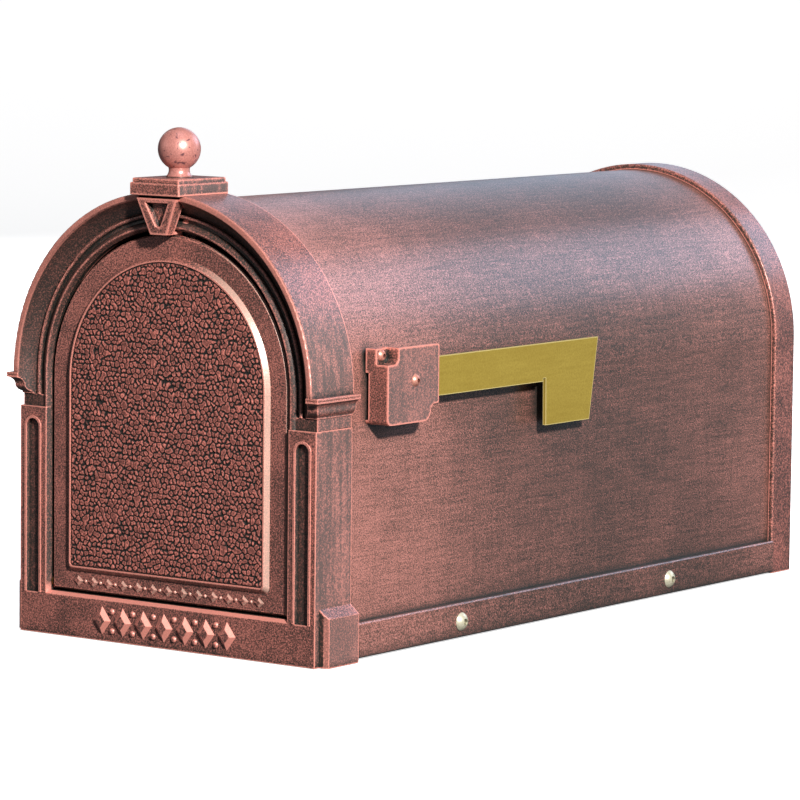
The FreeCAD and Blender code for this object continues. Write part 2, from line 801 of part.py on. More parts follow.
def door_leaf():
    corner = 1.5
    chamfer_back = DOOR_FACE + DOOR_CHAMFER
    leaf = arch(DOOR_R, DOOR_Z, DOOR_BOTTOM, (chamfer_back, DOOR_FLANGE), corner)
    rim_face = (DOOR_R - DOOR_CHAMFER, DOOR_Z, DOOR_BOTTOM + DOOR_CHAMFER, DOOR_FACE, corner)
    rim_foot = (DOOR_R, DOOR_Z, DOOR_BOTTOM, chamfer_back, corner)
    leaf = leaf.fuse(Part.makeLoft([arch_wire(*rim_foot), arch_wire(*rim_face)], True, True))
    leaf = leaf.cut(arch(DOOR_R - 3.0, DOOR_Z, DOOR_BOTTOM + 3.0, (DOOR_BACK, DOOR_FLANGE + 1), corner))
    foot_bottom = PANEL_BOTTOM - PANEL_BEVEL
    foot = arch_wire(PANEL_HALF + PANEL_BEVEL, DOOR_Z, foot_bottom, DOOR_FACE + 0.2, 3.5)
    face = arch_wire(PANEL_HALF, DOOR_Z, PANEL_BOTTOM, PANEL_FACE, 2.5)
    raised = Part.makeLoft([foot, face], True, True)
    leaf = leaf.fuse([raised] + both_sides(hinge_lug()) + bead_row())
    field = (PANEL_HALF - PANEL_BORDER, DOOR_Z, PANEL_BOTTOM + PANEL_BORDER)
    cuts = [
        arch(*field, (PANEL_FACE - 1, PANEL_FACE + 0.8), 2.0),
        arch(PANEL_HALF - 1.0, DOOR_Z, PANEL_BOTTOM + 1.0, (3.7, DOOR_BACK + 1), 2.0),
        block((-CATCH_ROOM, CATCH_ROOM), (DOOR_BACK, DOOR_FLANGE + 1), (215, 250)),
        hinge_hole(BUSH_R, 79.0 - 1, DOOR_R + 1),
        hinge_hole(BUSH_R, -DOOR_R - 1, 1 - 79.0),
    ]
    cuts += strike_holes(1.2 + FIT)
    cuts += pull_screw_holes(1.4 + FIT, (DOOR_FACE + 1.3, DOOR_BACK + 1))
    return leaf.cut(cuts).removeSplitter()


def hinge_bush():
    """A plain sleeve in the door's right lug, with a thin flange towards the frame."""
    sleeve = rod(BUSH_R, Vector(79.5, at(HINGE_DEPTH), HINGE_Z), Vector(DOOR_R, at(HINGE_DEPTH), HINGE_Z))
    flange = rod(3.2, Vector(DOOR_R, at(HINGE_DEPTH), HINGE_Z), Vector(89.1, at(HINGE_DEPTH), HINGE_Z))
    return sleeve.fuse(flange).cut(hinge_hole(HINGE_PIN_R + FIT, 79, 91)).removeSplitter()


STRIKE_BACK = DOOR_BACK + 1.2
PULL_TAIL_HALF = 6.6
PULL_TAIL_BOTTOM = 234.2
PULL_NECK_TOP = 244.1


def keystone_pull():
    """The hollowed wedge over the door, with a tail that hooks over the leaf and down its back."""
    outline = [
        (-PULL_TOP_HALF, PULL_TOP),
        (PULL_TOP_HALF, PULL_TOP),
        (PULL_BOTTOM_HALF, PULL_BOTTOM),
        (-PULL_BOTTOM_HALF, PULL_BOTTOM),
    ]
    side = [
        (at(-9.0), PULL_TOP),
        (at(PULL_BACK), PULL_TOP),
        (at(PULL_BACK), PULL_BOTTOM),
        (at(-7.0), PULL_BOTTOM),
    ]
    stone = prism("y", at(-12), at(PULL_BACK), outline).common(prism("x", -20, 20, side))
    wires = []
    for depth, grow in ((-10.0, 0.5), (-4.6, -1.0)):
        corners = [
            Vector(-8.5 - grow, at(depth), 260.8 + grow),
            Vector(8.5 + grow, at(depth), 260.8 + grow),
            Vector(1.9 + grow, at(depth), 246.6 - grow),
            Vector(-1.9 - grow, at(depth), 246.6 - grow),
        ]
        wires.append(Part.makePolygon(corners + corners[:1]))
    recess = Part.makeLoft(wires, True, True)
    neck = block((-5.4, 5.4), (PULL_BACK - 0.5, STRIKE_BACK), (PULL_BOTTOM + 0.1, PULL_NECK_TOP))
    tail_xs = (-PULL_TAIL_HALF, PULL_TAIL_HALF)
    tail = block(tail_xs, (DOOR_BACK, STRIKE_BACK), (PULL_TAIL_BOTTOM, PULL_NECK_TOP))
    screw_room = pull_screw_holes(1.4 + FIT, (DOOR_BACK - 0.5, STRIKE_BACK + 0.5))
    return stone.cut(recess).fuse([neck, tail]).cut(screw_room).removeSplitter()


def strike_plate():
    """A steel plate on the back of the door's rim, notched round the pull's tail."""
    plate = block((-16, 16), (DOOR_BACK, STRIKE_BACK), (229.6, 238.0 + 2.9))
    edges = [edge for edge in plate.Edges if abs(edge.BoundBox.YLength - 1.2) < 0.01]
    plate = plate.makeFillet(1.5, edges)
    notch_half = PULL_TAIL_HALF + 0.2
    notch = block((-notch_half, notch_half), (0, 10), (PULL_TAIL_BOTTOM - 0.2, 250))
    return plate.cut(strike_holes(1.2 + FIT) + [notch])


def strike_rivets():
    back = Vector(0, 1, 0)
    rivets = []
    for x in (-11.0, 11.0):
        rivets.append(screw(Vector(x, at(STRIKE_BACK), 235.0), back, 2.8, 1.2, 2.2, 0.5, 0.1))
    return rivets


def pull_screws():
    back = Vector(0, 1, 0)
    screws = []
    for x in (-PULL_SCREW_X, PULL_SCREW_X):
        seat = Vector(x, at(STRIKE_BACK), PULL_SCREW_Z)
        screws.append(screw(seat, back, 2.8, 1.4, 2.4, 0.5, 0.6))
    return screws


# Catch

SHELF_TOP = 246.8
SHELF_BOTTOM = 245.3
CATCH_BOTTOM = 229.8
CATCH_FRONT = 8.6
CATCH_BACK = 26.0


def catch_bracket():
    """An angle: its upright lies on the back of the frame's web and its shelf carries the catch."""
    upright = block((-16, 16), (WEB_DEPTH, WEB_DEPTH + 1.5), (SHELF_TOP - 0.1, 252.8))
    shelf = block((-16, 16), (WEB_DEPTH, CATCH_BACK), (SHELF_BOTTOM, SHELF_TOP))
    holes = [bracket_screw_hole(BRACKET_SCREW_X), bracket_screw_hole(-BRACKET_SCREW_X)]
    return upright.fuse(shelf).cut(holes + catch_screw_holes()).removeSplitter()


def bracket_screws():
    back = Vector(0, 1, 0)
    screws = []
    for x in (-BRACKET_SCREW_X, BRACKET_SCREW_X):
        seat = Vector(x, at(WEB_DEPTH + 1.5), BRACKET_SCREW_Z)
        screws.append(screw(seat, back, 5.4, 1.4, 2.6, 1.4, 1.5))
    return screws


def catch_screw_holes():
    holes = []
    for x in (-12.0, 12.0):
        start = Vector(x, at(20), SHELF_TOP + 1)
        holes.append(rod(1.4 + FIT, start, start - Vector(0, 0, 8.0)))
    return holes


def catch_screws():
    screws = []
    for x in (-12.0, 12.0):
        seat = Vector(x, at(20), SHELF_TOP)
        screws.append(screw(seat, Vector(0, 0, 1), 6.6, 1.4, 2.6, 1.4, 1.5))
    return screws


def catch_body():
    body = block((-15.5, 15.5), (CATCH_FRONT, CATCH_BACK), (CATCH_BOTTOM, SHELF_BOTTOM))
    edges = [edge for edge in body.Edges if edge.CenterOfMass.z < CATCH_BOTTOM + 0.1]
    body = body.makeFillet(1.2, edges)
    pocket = block((-10.1, 10.1), (CATCH_FRONT - 1, 22.0), (CATCH_BOTTOM + 3.9, 242.0))
    return body.cut([pocket] + catch_screw_holes())


def catch_magnet():
    """Two pole plates with the magnet between them, standing out a little towards the strike."""
    depths = (CATCH_FRONT - 0.9, 21.9)
    return block((-10.0, 10.0), depths, (CATCH_BOTTOM + 4.0, 241.9))


# Flag

def housing_outline():
    """The outer wall's outline as (depth, height), with a notch at the top left."""
    bottom = HOUSING_BOTTOM
    top = HOUSING_TOP
    left = HOUSING_LEFT
    right = HOUSING_RIGHT
    return [
        ("arc", (left + 0.9, bottom + 0.9), (left + 3.0, bottom)),
        ("line", (86.5, bottom)),
        ("arc", (91.6, bottom + 2.2), (93.4, bottom + 7.4)),
        ("line", (95.6, bottom + 9.6)),
        ("line", (right, bottom + 9.9)),
        ("line", (right, top - 1.5)),
        ("arc", (right - 0.44, top - 0.44), (right - 1.5, top)),
        ("line", (61.2, top)),
        ("line", (61.2, 174.5)),
        ("arc", (60.1, 171.6), (57.2, 170.5)),
        ("line", (left, 170.5)),
        ("line", (left, bottom + 3.0)),
    ]


def housing_plate(x0, x1):
    wire = section_wire(housing_outline(), lambda depth, height: Vector(x0, at(depth), height))
    return Part.Face(wire).extrude(Vector(x1 - x0, 0, 0))


FOOT_X = SHELL_R + 0.1
BOSS_OUT = 114.4


def flag_housing():
    """A shallow box, open at the back and along the top, that guards the flag's pivot."""
    wall = housing_plate(HOUSING_OUT - HOUSING_WALL, HOUSING_OUT)
    solid = housing_plate(FOOT_X, HOUSING_OUT)
    left = solid.common(block((FOOT_X + 2.2, 130), (HOUSING_LEFT, HOUSING_LEFT + 2.6), (137, 170.5)))
    floor = solid.common(block((FOOT_X, 130), (HOUSING_LEFT, 95.0), (130, HOUSING_BOTTOM + 2.6)))
    foot = block((FOOT_X, FOOT_X + 2.4), (78.0, 88.0), (HOUSING_BOTTOM + 1.0, 146.4))
    boss = block((FOOT_X, BOSS_OUT), (HOUSING_LEFT, 60.5), (165.5, HOUSING_TOP - 0.4))
    notch_wall = block((BOSS_OUT - 2.5, HOUSING_OUT), (60.2, 63.0), (172.0, HOUSING_TOP))
    notch_floor = block((BOSS_OUT - 2.5, HOUSING_OUT), (HOUSING_LEFT, 62.0), (168.0, 170.5))
    notch_floor = notch_floor.fuse(block((BOSS_OUT - 2.5, HOUSING_OUT), (58.6, 63.0), (169.4, 173.6)))
    down_stop = block((FOOT_X + 6, HOUSING_OUT), (93.5, 97.5), (HOUSING_BOTTOM + 9.7, 148.3))
    up_stop = block((FOOT_X + 6, HOUSING_OUT), (62.6, 66.0), (173.6, HOUSING_TOP))
    notch = slot_for_screw()
    shapes = [left, floor, foot, boss, notch_wall, notch_floor, down_stop, up_stop]
    housing = wall.fuse(shapes).cut([notch, pivot_hole(PIVOT_R + FIT)] + flag_screw_holes()[:1])
    lower = Vector(FOOT_X - 1, at(FLAG_SCREWS[1][0]), FLAG_SCREWS[1][1])
    return housing.cut(rod(FLAG_SCREW_R + FIT, lower, lower + Vector(5, 0, 0))).removeSplitter()


def slot_for_screw():
    """The open corner over the upper mounting screw, rounded at its inner corner."""
    outline = [
        ("line", (61.2, HOUSING_TOP + 2)),
        ("line", (61.2, 174.5)),
        ("arc", (60.1, 171.6), (57.2, 170.5)),
        ("line", (HOUSING_LEFT - 2, 170.5)),
        ("line", (HOUSING_LEFT - 2, HOUSING_TOP + 2)),
    ]
    wire = section_wire(outline, lambda depth, height: Vector(BOSS_OUT, at(depth), height))
    return Part.Face(wire).extrude(Vector(20, 0, 0))


def flag_mount_fasteners():
    screws = []
    nuts = []
    out = Vector(1, 0, 0)
    seats = (BOSS_OUT, FOOT_X + 2.4)
    for (depth, height), seat_x in zip(FLAG_SCREWS, seats):
        seat = Vector(seat_x, at(depth), height)
        screws.append(screw(seat, out, seat_x - SHELL_R + 6.0, FLAG_SCREW_R, 3.5, 2.2, 2.2))
        start = Vector(inner_face_x(height), at(depth), height)
        nuts.append(nut(7.0, FLAG_SCREW_R, start, start - out * 3.0))
    save("flag_mount_screws", *screws)
    save("flag_mount_nuts", *nuts)


def inner_face_x(height):
    """The X of the shell's inner face near a fastener, kept clear where the arch curves in."""
    rise = max(0.0, height + 5.0 - SHELL_Z)
    return math.sqrt((SHELL_R - SHEET) ** 2 - rise ** 2) - 0.1


def flag_plate():
    """One flat plate: a long arm with a round pivot end, and a square tab at its far end."""
    top = PIVOT_Z + ARM_HALF
    bottom = PIVOT_Z - ARM_HALF
    outline = [
        (at(PIVOT_DEPTH), top),
        (at(FLAG_END), top),
        (at(266.2), 121.7),
        (at(219.4), 121.7),
        (at(218.9), 150.4),
        (at(216.0), 150.4),
        (at(216.0), bottom),
        (at(PIVOT_DEPTH), bottom),
    ]
    arm = prism("x", FLAG_IN, FLAG_OUT, outline)
    start = Vector(FLAG_IN, at(PIVOT_DEPTH), PIVOT_Z)
    arm = arm.fuse(rod(ARM_HALF, start, start + Vector(FLAG_OUT - FLAG_IN, 0, 0)))
    return arm.cut(pivot_hole(PIVOT_R + FIT)).removeSplitter()


def along_pivot(x):
    return Vector(x, at(PIVOT_DEPTH), PIVOT_Z)


def flag_pivot_pieces():
    out = Vector(1, 0, 0)
    inside = inner_face_x(PIVOT_Z)
    bore = PIVOT_R + FIT
    length = HOUSING_OUT - inside + 6.5
    save("flag_pivot_screw", screw(along_pivot(HOUSING_OUT), out, length, PIVOT_R, 3.6, 2.4, 2.4))
    save("flag_spacer", washer(5.0, bore, along_pivot(SHELL_R + 0.1), along_pivot(FLAG_IN - 0.1)))
    wall_in = HOUSING_OUT - HOUSING_WALL
    save("flag_friction_washer", washer(6.5, bore, along_pivot(FLAG_OUT + 0.1), along_pivot(wall_in)))
    save("flag_pivot_washer", washer(5.4, bore, along_pivot(inside - 1.0), along_pivot(inside)))
    save("flag_pivot_nut", nut(8.0, PIVOT_R, along_pivot(inside - 5.0), along_pivot(inside - 1.0)))


# The assembly

def main():
    os.makedirs("parts", exist_ok=True)
    save("front_frame", front_frame())
    save("cap_plate", cap_plate())
    save("finial", finial())
    finial_fasteners()

    save("body_shell", body_shell())
    save("floor_pan", floor_pan())
    save("base_plate", base_plate())
    save("plate_rivets", *[plate_rivet(foot) for foot in plate_rivet_places()])
    save("post_nuts", *post_nuts())
    save("side_rail_right", side_rail())
    save("side_rail_left", mirrored(side_rail()))
    rail_fasteners()
    save("frame_screws", *wall_screws(FRAME_SCREW_DEPTH))
    save("rear_band", rear_band())
    save("band_screws", *wall_screws(BAND_SCREW_DEPTH))
    save("rear_panel", rear_panel())
    save("panel_screws", *panel_screws())

    save("door_leaf", door_leaf())
    save("hinge_bush_right", hinge_bush())
    save("hinge_bush_left", mirrored(hinge_bush()))
    pin = hinge_hole(HINGE_PIN_R, PIN_INNER, PIN_OUTER)
    save("hinge_pin_right", pin)
    save("hinge_pin_left", mirrored(pin))
    save("keystone_pull", keystone_pull())
    save("pull_screws", *pull_screws())
    save("strike_plate", strike_plate())
    save("strike_rivets", *strike_rivets())

    save("catch_bracket", catch_bracket())
    save("bracket_screws", *bracket_screws())
    save("catch_body", catch_body())
    save("catch_screws", *catch_screws())
    save("catch_magnet", catch_magnet())

    save("flag_housing", flag_housing())
    flag_mount_fasteners()
    save("flag_plate", flag_plate())
    flag_pivot_pieces()


main()
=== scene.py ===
import json
import math
import random

import bpy
from mathutils import Matrix, Vector, noise
from mathutils.kdtree import KDTree


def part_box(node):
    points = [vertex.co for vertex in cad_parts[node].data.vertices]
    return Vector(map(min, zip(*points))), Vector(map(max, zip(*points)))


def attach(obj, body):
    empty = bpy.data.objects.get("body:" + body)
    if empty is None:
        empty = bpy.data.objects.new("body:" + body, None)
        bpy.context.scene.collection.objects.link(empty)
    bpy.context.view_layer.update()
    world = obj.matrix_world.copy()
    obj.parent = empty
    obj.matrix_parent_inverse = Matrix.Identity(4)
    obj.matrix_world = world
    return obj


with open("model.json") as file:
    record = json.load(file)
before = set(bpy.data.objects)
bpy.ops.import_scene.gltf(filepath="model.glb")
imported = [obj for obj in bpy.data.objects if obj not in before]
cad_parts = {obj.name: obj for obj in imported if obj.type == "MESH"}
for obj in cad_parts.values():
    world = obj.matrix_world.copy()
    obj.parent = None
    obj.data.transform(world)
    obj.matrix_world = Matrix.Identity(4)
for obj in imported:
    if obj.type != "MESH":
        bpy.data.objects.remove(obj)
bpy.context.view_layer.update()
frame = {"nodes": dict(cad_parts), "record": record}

# noise_vector takes its seed from the clock unless it is given one
SEED = 11
random.seed(SEED)
noise.seed_set(SEED)

MM = 0.001
NODES = frame["nodes"]
FRAME_LOW, FRAME_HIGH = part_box("front_frame")
SHELL_LOW, SHELL_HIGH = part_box("body_shell")
LEAF_LOW, LEAF_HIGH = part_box("door_leaf")


# Camera, at the photograph's viewing angle

CAMERA_PLACE = Vector((1.6364, -2.26205, 0.4231))
CAMERA_TURN = math.radians(36.23)
CAMERA_DIP = math.radians(6.09)
CAMERA_ROLL = math.radians(0.61)
CAMERA_LENS = 201.56


def add_camera():
    data = bpy.data.cameras.new("view_camera")
    data.lens = CAMERA_LENS
    data.sensor_width = 36.0
    data.clip_end = 60.0
    camera = bpy.data.objects.new("view_camera", data)
    bpy.context.scene.collection.objects.link(camera)
    forward = Vector((
        -math.sin(CAMERA_TURN) * math.cos(CAMERA_DIP),
        math.cos(CAMERA_TURN) * math.cos(CAMERA_DIP),
        -math.sin(CAMERA_DIP),
    ))
    level = Vector((math.cos(CAMERA_TURN), math.sin(CAMERA_TURN), 0.0))
    upright = level.cross(forward)
    right = level * math.cos(CAMERA_ROLL) + upright * math.sin(CAMERA_ROLL)
    up = upright * math.cos(CAMERA_ROLL) - level * math.sin(CAMERA_ROLL)
    matrix = Matrix((right, up, -forward)).transposed().to_4x4()
    matrix.translation = CAMERA_PLACE
    camera.matrix_world = matrix
    bpy.context.scene.camera = camera


# Light and floor

STUDIO_CENTRE = Vector((0.0, 0.0, 0.15))


def add_area_light(name, place, size, power, colour):
    """A round light that looks at the middle of the box."""
    data = bpy.data.lights.new(name, "AREA")
    data.shape = "DISK"
    data.size = size
    data.energy = power
    data.color = colour
    light = bpy.data.objects.new(name, data)
    bpy.context.scene.collection.objects.link(light)
    light.location = place
    light.rotation_euler = (STUDIO_CENTRE - place).to_track_quat("-Z", "Y").to_euler()
    light.visible_camera = False
    return light


def place_at(azimuth, elevation, distance):
    """Seen from the middle of the box: azimuth 0 is in front of the door, 90 on the flag's side."""
    turn = math.radians(azimuth)
    rise = math.radians(elevation)
    direction = Vector((
        math.sin(turn) * math.cos(rise),
        -math.cos(turn) * math.cos(rise),
        math.sin(rise),
    ))
    return STUDIO_CENTRE + direction * distance


def add_lights():
    """A small hard key, and wide soft lights that the round top and the flag's side reflect."""
    key = place_at(55.5, 25, 3.2)
    add_area_light("key_light", key, size=0.26, power=195.0, colour=(1.0, 0.95, 0.90))
    shoulder = place_at(160, 29, 2.6)
    add_area_light("shoulder_light", shoulder, size=1.3, power=18.0, colour=(0.62, 0.74, 1.0))
    ridge = place_at(203, 22, 2.6)
    add_area_light("ridge_light", ridge, size=1.5, power=7.5, colour=(0.58, 0.76, 1.0))
    side = place_at(144, 9, 2.6)
    add_area_light("side_light", side, size=1.6, power=3.5, colour=(0.68, 0.88, 1.0))
    top = STUDIO_CENTRE + Vector((0.2, -0.2, 2.6))
    add_area_light("top_light", top, size=1.6, power=6.0, colour=(0.70, 0.82, 1.0))
    back = place_at(243, 24, 2.8)
    fill = add_area_light("back_light", back, size=1.5, power=55.0, colour=(1.0, 0.96, 0.92))
    fill.visible_glossy = False
    left = place_at(-45, 20, 2.8)
    add_area_light("left_light", left, size=1.4, power=3.0, colour=(1.0, 0.95, 0.92))


def add_world():
    world = bpy.data.worlds.new("studio")
    world.use_nodes = True
    background = world.node_tree.nodes["Background"]
    background.inputs["Color"].default_value = (0.86, 0.92, 1.0, 1.0)
    background.inputs["Strength"].default_value = 0.09
    bpy.context.scene.world = world


FLOOR_REACH = 9.0
FLOOR_DROP = 0.5 * MM
SWEEP_START = 3.2
SWEEP_RADIUS = 2.0
SWEEP_STEPS = 16
BACKDROP_HEIGHT = 6.0


def add_floor():
    """A pale floor that sweeps up into a backdrop far behind the box."""
    profile = [(-FLOOR_REACH, 0.0), (SWEEP_START, 0.0)]
    for step in range(1, SWEEP_STEPS + 1):
        turn = math.radians(90 * step / SWEEP_STEPS)
        profile.append((
            SWEEP_START + SWEEP_RADIUS * math.sin(turn),
            SWEEP_RADIUS * (1 - math.cos(turn)),
        ))
    profile.append((SWEEP_START + SWEEP_RADIUS, BACKDROP_HEIGHT))
    verts = []
    for along, height in profile:
        verts.append((-FLOOR_REACH, along, height))
        verts.append((FLOOR_REACH, along, height))
    faces = []
    for step in range(len(profile) - 1):
        low = 2 * step
        faces.append((low, low + 1, low + 3, low + 2))
    mesh = bpy.data.meshes.new("floor")
    mesh.from_pydata(verts, [], faces)
    mesh.shade_smooth()
    floor = bpy.data.objects.new("floor", mesh)
    bpy.context.scene.collection.objects.link(floor)
    floor.rotation_euler.z = CAMERA_TURN
    floor.location.z = -FLOOR_DROP
    floor.data.materials.append(floor_material())
    floor.visible_diffuse = False
    floor.visible_glossy = False


def floor_material():
    """White paper that glows a little, so that it stays white behind the box."""
    graph = Graph("floor_paper")
    graph.shader["Base Color"].default_value = (0.90, 0.90, 0.90, 1.0)
    graph.shader["Roughness"].default_value = 0.9
    graph.shader["Emission Color"].default_value = (1.0, 1.0, 1.0, 1.0)
    graph.shader["Emission Strength"].default_value = 0.72
    return graph.material


# Materials

class Graph:
    """A material's node tree, with short calls for the nodes that the finishes use."""

    def __init__(self, name):
        self.material = bpy.data.materials.new(name)
        self.material.use_nodes = True
        self.tree = self.material.node_tree
        self.shader = self.tree.nodes["Principled BSDF"].inputs

    def add(self, kind, **settings):
        node = self.tree.nodes.new(kind)
        for key, value in settings.items():
            setattr(node, key, value)
        return node

    def put(self, socket, value):
        """Links an output to a socket, or sets the socket to a plain value."""
        if isinstance(value, bpy.types.NodeSocket):
            self.tree.links.new(value, socket)
        else:
            socket.default_value = value

    def place(self):
        """Where a point lies on the object."""
        return self.add("ShaderNodeTexCoord").outputs["Object"]

    def stretch(self, vector, scale):
        node = self.add("ShaderNodeMapping")
        self.put(node.inputs["Vector"], vector)
        node.inputs["Scale"].default_value = scale
        return node.outputs["Vector"]

    def noise(self, vector, scale, detail=4.0, roughness=0.55, distortion=0.0):
        node = self.add("ShaderNodeTexNoise")
        self.put(node.inputs["Vector"], vector)
        node.inputs["Scale"].default_value = scale
        node.inputs["Detail"].default_value = detail
        node.inputs["Roughness"].default_value = roughness
        node.inputs["Distortion"].default_value = distortion
        return node.outputs["Fac"]

    def math(self, operation, a, b=0.0, c=0.0):
        node = self.add("ShaderNodeMath", operation=operation)
        self.put(node.inputs[0], a)
        self.put(node.inputs[1], b)
        self.put(node.inputs[2], c)
        return node.outputs[0]

    def fit(self, value, low, high, to_low=0.0, to_high=1.0):
        """Maps low to high smoothly onto to_low to to_high."""
        node = self.add("ShaderNodeMapRange", interpolation_type="SMOOTHSTEP")
        self.put(node.inputs["Value"], value)
        node.inputs["From Min"].default_value = low
        node.inputs["From Max"].default_value = high
        node.inputs["To Min"].default_value = to_low
        node.inputs["To Max"].default_value = to_high
        return node.outputs["Result"]

    def mix(self, amount, a, b):
        node = self.add("ShaderNodeMix", data_type="RGBA")
        self.put(node.inputs["Factor"], amount)
        self.put(node.inputs["A"], a)
        self.put(node.inputs["B"], b)
        return node.outputs["Result"]

    def ramp(self, value, stops):
        node = self.add("ShaderNodeValToRGB")
        self.put(node.inputs["Fac"], value)
        elements = node.color_ramp.elements
        while len(elements) < len(stops):
            elements.new(0.5)
        for element, (where, colour) in zip(elements, stops):
            element.position = where
            element.color = colour
        return node.outputs["Color"]

    def along(self, axis):
        """The position along one axis of the object, in metres."""
        parts = self.add("ShaderNodeSeparateXYZ")
        self.put(parts.inputs[0], self.place())
        return parts.outputs[axis]

    def normal_along(self, axis):
        """The surface normal's share along one axis of the object, -1 to 1."""
        parts = self.add("ShaderNodeSeparateXYZ")
        self.put(parts.inputs[0], self.add("ShaderNodeTexCoord").outputs["Normal"])
        return parts.outputs[axis]

    def facing(self, axis, low, high):
        """How squarely a face looks along an axis of the object, either way: 0 at low, 1 at high."""
        return self.fit(self.math("ABSOLUTE", self.normal_along(axis)), low, high)

    def looking(self, axis, low, high):
        """How squarely a face looks towards the positive end of an axis of the object."""
        return self.fit(self.normal_along(axis), low, high)

    def sloping(self):
        """1 on a face that is turned part of the way from the front, 0 on front and side faces."""
        return self.math("SUBTRACT", self.facing("Y", 0.30, 0.45), self.facing("Y", 0.86, 0.97))

    def occlusion(self, distance, inside=False):
        """1 in the open and less in a groove, or with inside, less on an outer edge."""
        node = self.add("ShaderNodeAmbientOcclusion", samples=8, inside=inside)
        node.inputs["Distance"].default_value = distance
        return node.outputs["AO"]

    def bump(self, height, strength, distance, normal=None):
        node = self.add("ShaderNodeBump")
        node.inputs["Strength"].default_value = strength
        node.inputs["Distance"].default_value = distance
        self.put(node.inputs["Height"], height)
        if normal is not None:
            self.put(node.inputs["Normal"], normal)
        return node.outputs["Normal"]

    def finish(self, colour, metallic, roughness, normal, coat=(0.0, 0.03)):
        """Joins up the shader; coat is the clear coat's weight and roughness."""
        self.put(self.shader["Base Color"], colour)
        self.put(self.shader["Metallic"], metallic)
        self.put(self.shader["Roughness"], roughness)
        self.put(self.shader["Normal"], normal)
        self.put(self.shader["Coat Weight"], coat[0])
        self.put(self.shader["Coat Roughness"], coat[1])
        return self.material


def srgb(red, green, blue):
    """A display colour, 0 to 255, as the shader's linear colour."""
    channels = []
    for value in (red, green, blue):
        share = value / 255
        channels.append(share / 12.92 if share <= 0.04045 else ((share + 0.055) / 1.055) ** 2.4)
    return (*channels, 1.0)


def dimmed(colour, share):
    return (*(share * channel for channel in colour[:3]), 1.0)


SALMON = srgb(240, 156, 141)
PINK = srgb(198, 124, 112)
RUSSET = srgb(122, 78, 71)
SMOKE = srgb(52, 44, 41)
PATINA_AND_SHADE = srgb(26, 34, 31)
HIGHLIGHT_CREAM = srgb(212, 176, 160)
SHEEN_GREY = srgb(170, 147, 143)

# The front frame's parts that wear differently, from its own box
RIM_FRONT = FRAME_LOW.y + 0.25 * MM
FACE_FRONT = FRAME_LOW.y + 6.5 * MM
APRON_TOP = FRAME_LOW.z + 27 * MM
MOULDINGS_FOOT = FRAME_LOW.z + 32 * MM
PLINTH_TOP = FRAME_LOW.z + 33 * MM
PILASTER_FOOT = FRAME_LOW.z + 36 * MM
HOOD_FOOT = FRAME_LOW.z + 154 * MM
PLINTH_INNER = FRAME_HIGH.x - 16.5 * MM
SMOOTHING = 6 * MM


